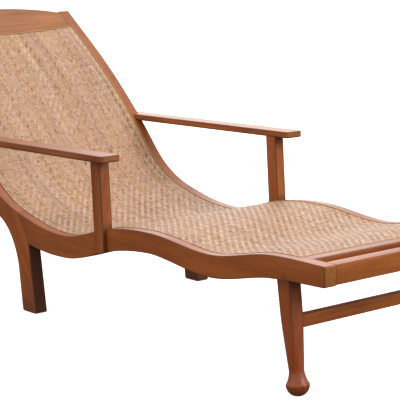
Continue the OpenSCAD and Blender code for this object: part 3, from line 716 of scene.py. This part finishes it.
def rattan(name, dark, mid, pale, shade_and_dirt_colour, both_sides=True):
    """Split rattan. Tone is each strip's own shade. Fine streaks and slow
    changes are noise over the strip's own length, and soft patches of warmer
    and cooler colour are noise over the sheet. Painted shade darkens both sides
    of a strip where it meets its neighbours; on a bead only the outer side is
    darkened, by painted shade and dirt in the gap beside it, unevenly along its length."""
    finish = bpy.data.materials.new(name)
    finish.use_nodes = True
    tree = finish.node_tree
    strip = node(tree, "Attribute", {}, attribute_name="strip").outputs["Vector"]
    tone = node(tree, "Attribute", {}, attribute_name="tone").outputs["Fac"]
    place = node(tree, "TexCoord", {}).outputs["Object"]

    def noise(vector, scale, detail):
        """Noise over a vector, with the scale's cycles to its unit in X, Y and Z."""
        moved = node(tree, "Mapping", {"Vector": vector, "Scale": scale}).outputs[0]
        return node(tree, "TexNoise", {"Vector": moved, "Scale": 1, "Detail": detail})

    def sum_of(a, gain, b):
        """a times the gain, plus b."""
        return node(tree, "Math", {0: a, 1: gain, 2: b}, operation="MULTIPLY_ADD").outputs[0]

    def mixed(share, a, b, kind="MIX"):
        """Colour a mixed with b, or of the kind MULTIPLY multiplied by it."""
        sockets = {0: share, 6: a, 7: b}
        return node(tree, "Mix", sockets, data_type="RGBA", blend_type=kind).outputs[2]

    def between(value, low, high, start=0.0, end=1.0):
        """Goes straight from start to end while the value goes from low to high."""
        sockets = {"Value": value, "From Min": low, "From Max": high, "To Min": start, "To Max": end}
        return node(tree, "MapRange", sockets).outputs[0]

    # colour: the strip's tone with streaks, slow changes, patches and dark flecks
    streak = noise(strip, (22, 3.1, 7.3), 3).outputs["Fac"]
    slow = noise(strip, (6, 0.2, 3.7), 2).outputs["Fac"]
    fleck = noise(strip, (95, 0.9, 5.9), 1).outputs["Fac"]
    patch = noise(place, (48, 3.6, 3.6), 2)
    value = sum_of(streak, 0.45, sum_of(slow, 0.35, sum_of(tone, 1.0, -0.52)))
    value = sum_of(patch.outputs["Fac"], 0.3, value)
    value = sum_of(between(fleck, 0.69, 0.75), 0.45, value)
    ramp = node(tree, "ValToRGB", {"Fac": value})
    ramp.color_ramp.elements[0].color = (*pale, 1)
    ramp.color_ramp.elements[1].color = (*dark, 1)
    ramp.color_ramp.elements.new(0.45).color = (*mid, 1)
    cool = between(patch.outputs["Color"], 0.38, 0.62)
    hue = mixed(cool, (1.03, 1.0, 0.91, 1), (0.97, 1.0, 1.13, 1))
    colour = mixed(1.0, ramp.outputs["Color"], hue, "MULTIPLY")

    # painted shade along both sides, or painted shade and dirt, uneven, along the outer side
    side_shade_and_dirt = node(tree, "SeparateXYZ", {0: strip}).outputs["Y"]
    if both_sides:
        side_shade_and_dirt = node(tree, "Math", {0: side_shade_and_dirt}, operation="ABSOLUTE").outputs[0]
        side_shade_and_dirt = between(side_shade_and_dirt, 0.78, 1.05, 0.0, 0.6)
    else:
        uneven = between(noise(strip, (26, 0.1, 1.9), 2).outputs["Fac"], 0.36, 0.5, 0.35)
        side_shade_and_dirt = node(tree, "Math", {0: between(side_shade_and_dirt, 0.2, 0.7), 1: uneven}, operation="MULTIPLY").outputs[0]
    bump = node(tree, "Bump", {"Strength": 0.3, "Distance": 0.0001, "Height": streak}).outputs[0]
    feed(tree, tree.nodes["Principled BSDF"], {
        "Base Color": mixed(side_shade_and_dirt, colour, (*shade_and_dirt_colour, 1)), "Normal": bump,
        "Roughness": sum_of(streak, 0.2, 0.32), "Specular IOR Level": 0.2})
    return finish


# the last colour darkens the sides: painted shade and dirt on a side bead's outer side, lighter painted
# shade on both sides of the end beads
bead_colours = (0.15, 0.06, 0.025), (0.38, 0.2, 0.1), (0.5, 0.32, 0.18)
bead_finish = rattan("split_rattan_bead", *bead_colours, (0.05, 0.022, 0.012), both_sides=False)
end_bead_finish = rattan("split_rattan_end_bead", *bead_colours, (0.4, 0.22, 0.115))


def strips(name, laid, profile, finish):
    """One mesh of many strips. Each strip is laid as its places, a sideways and
    an outward vector at each place, and its tone; the profile is drawn in these
    vectors. Rings of neighbouring places are joined, and both ends are closed."""
    points, faces, places, shades = [], [], [], []
    start, size = 0, len(profile)
    for number, (centre, aside, outward, tone) in enumerate(laid):
        k = len(centre)
        ring = (centre[:, None] + profile[None, :, :1] * aside[:, None]
                + profile[None, :, 1:] * outward[:, None])
        run = np.concatenate([[0], np.cumsum(np.linalg.norm(np.diff(centre, axis=0), axis=1))]) * 0.001
        place = np.zeros((k, size, 3))
        place[..., 0] = run[:, None] + number * 0.37
        place[..., 1] = profile[None, :, 0] / np.abs(profile[:, 0]).max()
        place[..., 2] = number
        grid = np.arange(k * size).reshape(k, size) + start
        body = np.stack([grid[:-1], np.roll(grid[:-1], -1, 1), np.roll(grid[1:], -1, 1), grid[1:]], -1)
        faces += body.reshape(-1, 4)[:, ::-1].tolist() + [grid[0].tolist(), grid[-1, ::-1].tolist()]
        points.append(ring.reshape(-1, 3))
        places.append(place.reshape(-1, 3))
        shades.append(np.repeat(np.broadcast_to(tone, (k,))[:, None], size, 1).ravel())
        start += k * size
    mesh = mesh_of(name, np.concatenate(points), faces)
    mesh.attributes.new("strip", "FLOAT_VECTOR", "POINT").data.foreach_set(
        "vector", np.concatenate(places).astype(np.float32).ravel())
    mesh.attributes.new("tone", "FLOAT", "POINT").data.foreach_set(
        "value", np.concatenate(shades).astype(np.float32))
    return finished(name, mesh, finish, 75)


def frame_of(s, x, depth):
    """Place, outward and forward vector on a sheet that lies the depth below the
    side line: outward is square to the line, and forward runs along it."""
    z, slope = line_at(s)
    length = np.hypot(1, slope)
    place = np.stack([x + 0 * s, s + depth * slope / length, z - depth / length], -1)
    outward = np.stack([0 * s, -slope / length, 1 / length], -1)
    forward = np.stack([0 * s, 1 / length, slope / length], -1)
    return place, outward, forward


half_round = np.array([[-2, -5.0], [-2, -0.3], [-1.8, 0.3], [-1.1, 0.85], [0, 1.05],
                       [1.1, 0.9], [1.8, 0.5], [2, 0.0], [2, -5.0]])
bead_x, bead_foot_s = 285.2, 107.0
s = np.linspace(cane_start + 0.2, cane_end - 0.8, 320)
for side, name in ((-1, "right_bead"), (1, "left_bead")):
    place, outward, _ = frame_of(s, np.full(len(s), side * bead_x), 0.0 * s)
    laid = (place, np.tile([float(side), 0, 0], (len(s), 1)), outward, 0.45 + 0.1 * np.sin(s / 90))
    bead = strips("bead_" + name.split("_")[0], [laid], half_round[::-side], bead_finish)
    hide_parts(name)

xs = np.linspace(2.1 - bead_x, bead_x - 2.1, 90)
tone = np.full(len(xs), 0.42)
place, outward, forward = frame_of(np.full(len(xs), bead_foot_s), xs, 0 * xs)
bead = strips("bead_foot", [(place, forward, outward, tone)], half_round, end_bead_finish)
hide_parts("foot_bead")
place = on_crest(xs, crest_belly(xs, 2.0), np.full(len(xs), -0.6))
outward = np.tile([0, -math.sin(crest_turn), math.cos(crest_turn)], (len(xs), 1))
along_crest = np.gradient(place, axis=0)
along_crest /= np.linalg.norm(along_crest, axis=1)[:, None]
laid = (place, np.cross(outward, along_crest), outward, tone)
bead = strips("bead_crest", [laid], half_round, end_bead_finish)
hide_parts("crest_bead")


# Woven cane
# One sheet of flat rattan strips in a three-over, three-under twill, from the
# foot rail to the crest rail. The long strips follow the frame's line, the short
# ones run across, and both turn down beside the beads.

# the last colour is the painted shade along both sides of every strip, where it meets its neighbours
cane_finish = rattan("woven_rattan", (0.13, 0.056, 0.024), (0.435, 0.25, 0.142), (0.56, 0.41, 0.305),
                     (0.22, 0.11, 0.055))
rng = np.random.default_rng(11)
across_pitch, along_pitch = 3.494, 4.4
flat_strip = np.array([[-1, -0.38], [-0.62, 0.42], [0.62, 0.42], [1, -0.38]])
strip_share = 0.49  # half a strip's width, as a share of the pitch
over, under = 1.27, 2.33  # below the frame's line, where a strip lies above or under another
tuck_low, tuck_high = 4.6, 2.4  # below it too: a strip's end, and where it turns down
stub, stub_low = 2.2, 4.2  # how far a strip cut at the crest rail goes on, and how low it ends

# length along the sheet, from its own curve
fine_s = np.linspace(cane_start, 1745, 4000)
fine_place, _, _ = frame_of(fine_s, 0 * fine_s, (over + under) / 2 + 0 * fine_s)
fine_a = np.concatenate([[0], np.cumsum(np.linalg.norm(np.diff(fine_place, axis=0), axis=1))])
start_a = float(np.interp(109.0, fine_s, fine_a))  # where the long strips start, by the foot bead


def crest_edge(x):
    """Distance from the foot end where the cane meets the crest bead."""
    return stile_top + crest_belly(x, 4.3) * math.cos(crest_turn)


def length_at(s):
    """Length along the sheet at a distance from the foot end."""
    return np.interp(s, fine_s, fine_a)


warps = 161
warp_x = (np.arange(warps) - warps // 2) * across_pitch
warp_end = length_at(crest_edge(warp_x))
weft_end = 283.0  # where the cross strips end
sheet_end = length_at(crest_edge(np.array([weft_end, 0.0]))).max()
weft_a = np.arange(start_a + 3.2, sheet_end - 1.5, along_pitch)


def lies_over(i, k):
    """Three over, three under, each strip one crossing further than the last."""
    return (i - k) % 6 < 3


def turns_of(state):
    """The crossings where a strip dives or rises, on either side of the step."""
    step = state[1:] != state[:-1]
    keep = np.zeros(len(state), bool)
    keep[1:] |= step
    keep[:-1] |= step
    keep[[0, -1]] = True
    return keep


def float_tones(state, spread):
    """One small change of tone for each stretch between two dives of a strip."""
    stretch = np.concatenate([[0], np.cumsum(state[1:] != state[:-1])])
    return rng.normal(0, spread, stretch[-1] + 1)[stretch]


def place_at(a, x, depth):
    """The frame of the sheet at the length a along it."""
    return frame_of(np.interp(a, fine_a, fine_s), x, depth)


def seat_share(a):
    """1 on the seat and the leg rest, falling to 0 on the back."""
    return np.clip((1300 - np.interp(a, fine_a, fine_s)) / 200, 0, 1)


# groups of three neighbouring long strips share the shade of their lot of cane,
# and two strips near the edges are dark in dashes at about half their places
lots = np.clip(rng.normal(0, 1, (warps // 3 + 2, 9)), -1.4, 1.4)
lots_a = np.linspace(0, 2300, 9)
dashed_strips = (6, 154)
warp_tone = 0.36 + rng.normal(0, 0.05, warps)
warp_tone[list(dashed_strips)] = 0.4
long_strips = []
for i, (x, end) in enumerate(zip(warp_x, warp_end)):
    k = np.nonzero(weft_a < end - 2.2)[0]
    kept = turns_of(lies_over(i, k))
    own = float_tones(lies_over(i, k), 0.14)[kept]
    own = np.concatenate([own[[0, 0]], own, own[[-1, -1]]])
    k = k[kept]
    a = np.concatenate([[start_a + 0.3, start_a + 0.9], weft_a[k], [end - 0.9, end - 0.3]])
    deep = np.where(lies_over(i, k), over, under)
    deep = np.concatenate([[tuck_low, tuck_high], deep, [tuck_high, tuck_low]])
    place, outward, _ = place_at(a, np.full(len(a), x), deep)
    aside = np.tile([across_pitch * strip_share, 0, 0], (len(a), 1))
    splice = rng.uniform(0, 1, 2) * len(a)
    shift = rng.normal(0, 0.06, 3)[np.searchsorted(np.sort(splice), np.arange(len(a)))]
    lot = lots[i // 3] * (1 - i % 3 / 3) + lots[i // 3 + 1] * (i % 3 / 3)
    # painted sheen: on the seat and leg rest the long strips are a little paler and their stretches differ
    # more, their lots less
    shift += (0.13 - 0.05 * seat_share(a)) * np.interp(a, lots_a, lot)
    shift += own * (0.75 + 0.25 * seat_share(a)) - 0.05 * seat_share(a)
    spotted = rng.uniform(0, 1, len(a)) < (0.5 if i in dashed_strips else 0.012)
    spots = spotted * rng.uniform(0.15, 0.6, len(a))
    tone = np.clip(warp_tone[i] + shift + np.maximum(spots, np.roll(spots, 1)), 0, 1)
    long_strips.append((place, aside, outward, tone))
for part, picked in enumerate(np.array_split(np.arange(warps), 3)):
    piece = strips("cane_long_%d" % (part + 1), [long_strips[i] for i in picked], flat_strip[::-1],
                   cane_finish)
    if part == 0:
        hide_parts("cane_panel")

# painted sheen: the cross strips are darker on the seat and leg rest than on the back,
# and their stretches differ more, for the sheen that differs there between the two ways of strip;
# near the crest rail's curved edge a strip is in two pieces, one at each side
cross_strips = []
weft_tone = np.clip(0.4 + 0.18 * seat_share(weft_a) + rng.normal(0, 0.05, len(weft_a)), 0.05, 0.95)
for k, a in enumerate(weft_a):
    inside = np.nonzero(warp_end > a + 1.5)[0]
    for run in np.split(inside, np.nonzero(np.diff(inside) > 1)[0] + 1):
        kept = turns_of(lies_over(run, k))
        own = float_tones(lies_over(run, k), 0.12)[kept]
        run = run[kept]
        x, deep = warp_x[run], np.where(lies_over(run, k), under, over)
        first_x, first_deep = [x[0] - stub], [stub_low]
        if run[0] == 0:
            first_x, first_deep = [-weft_end, 0.6 - weft_end], [tuck_low, tuck_high]
        last_x, last_deep = [x[-1] + stub], [stub_low]
        if run[-1] == warps - 1:
            last_x, last_deep = [weft_end - 0.6, weft_end], [tuck_high, tuck_low]
        own = np.concatenate([[own[0]] * len(first_x), own, [own[-1]] * len(last_x)])
        x = np.concatenate([first_x, x, last_x])
        deep = np.concatenate([first_deep, deep, last_deep])
        place, outward, forward = place_at(np.full(len(x), a), x, deep)
        aside = forward * along_pitch * strip_share
        tone = np.clip(weft_tone[k] + own * (0.75 + 0.25 * seat_share(a)), 0, 1)
        cross_strips.append((place, aside, outward, tone))
for part, picked in enumerate(np.array_split(np.arange(len(cross_strips)), 3)):
    strips("cane_cross_%d" % (part + 1), [cross_strips[i] for i in picked], flat_strip,
           cane_finish)


# Studio and camera
# White paper on the floor, lit so that it shows no shadow, a pale room, four wide
# soft lights round the chair, and the camera where the photographer stood.

floor_mesh = bpy.data.meshes.new("floor")
floor_mesh.from_pydata([(-60, -60, 0), (60, -60, 0), (60, 60, 0), (-60, 60, 0)], [], [(0, 1, 2, 3)])
floor = bpy.data.objects.new("floor", floor_mesh)
bpy.context.scene.collection.objects.link(floor)
paper = bpy.data.materials.new("paper")
paper.use_nodes = True
feed(paper.node_tree, paper.node_tree.nodes["Principled BSDF"], {
    "Base Color": (0.5, 0.5, 0.5, 1), "Roughness": 0.9,
    "Emission Color": (1, 1, 1, 1), "Emission Strength": 0.95})
floor_mesh.materials.append(paper)
floor.visible_diffuse = False
floor.visible_glossy = False

# the room is darker below the horizon than above it
world = bpy.context.scene.world or bpy.data.worlds.new("studio")
bpy.context.scene.world = world
world.use_nodes = True
sky = world.node_tree
way = node(sky, "TexCoord", {}).outputs["Generated"]
height = node(sky, "SeparateXYZ", {0: way}).outputs["Z"]
tent = node(sky, "MapRange", {
    "Value": height, "From Min": -0.08, "From Max": 0.16, "To Min": 0.1, "To Max": 1.1})
feed(sky, sky.nodes["Background"], {"Strength": tent.outputs[0], "Color": (1, 1, 1, 1)})


def soft_light(name, place, size, power):
    """A square soft light, turned so that it shines on the middle of the chair."""
    lamp = bpy.data.lights.new(name, "AREA")
    lamp.shape = "SQUARE"
    lamp.size = size
    lamp.energy = power
    light = bpy.data.objects.new(name, lamp)
    light.location = place
    light.rotation_euler = (Vector((0, 0, 0.3)) - Vector(place)).to_track_quat("-Z", "Y").to_euler()
    bpy.context.scene.collection.objects.link(light)


soft_light("light_above", (0.6, 0.6, 3.4), 3.0, 25)
soft_light("light_foot", (1.5, -3.9, 2.6), 1.8, 108)
soft_light("light_behind", (3.4, 3.9, 1.7), 2.6, 43)
soft_light("light_side", (-4.6, 0.2, 1.9), 2.0, 35)

view = bpy.data.cameras.new("camera")
view.lens = 153
view.sensor_width = 36
camera = bpy.data.objects.new("camera", view)
camera.location = (-2.9498, -3.5156, 1.1680)
camera.rotation_euler = (math.radians(79.391), 0, math.radians(-41.0485))
bpy.context.scene.collection.objects.link(camera)
bpy.context.scene.camera = camera
bpy.context.scene.view_settings.view_transform = "Standard"
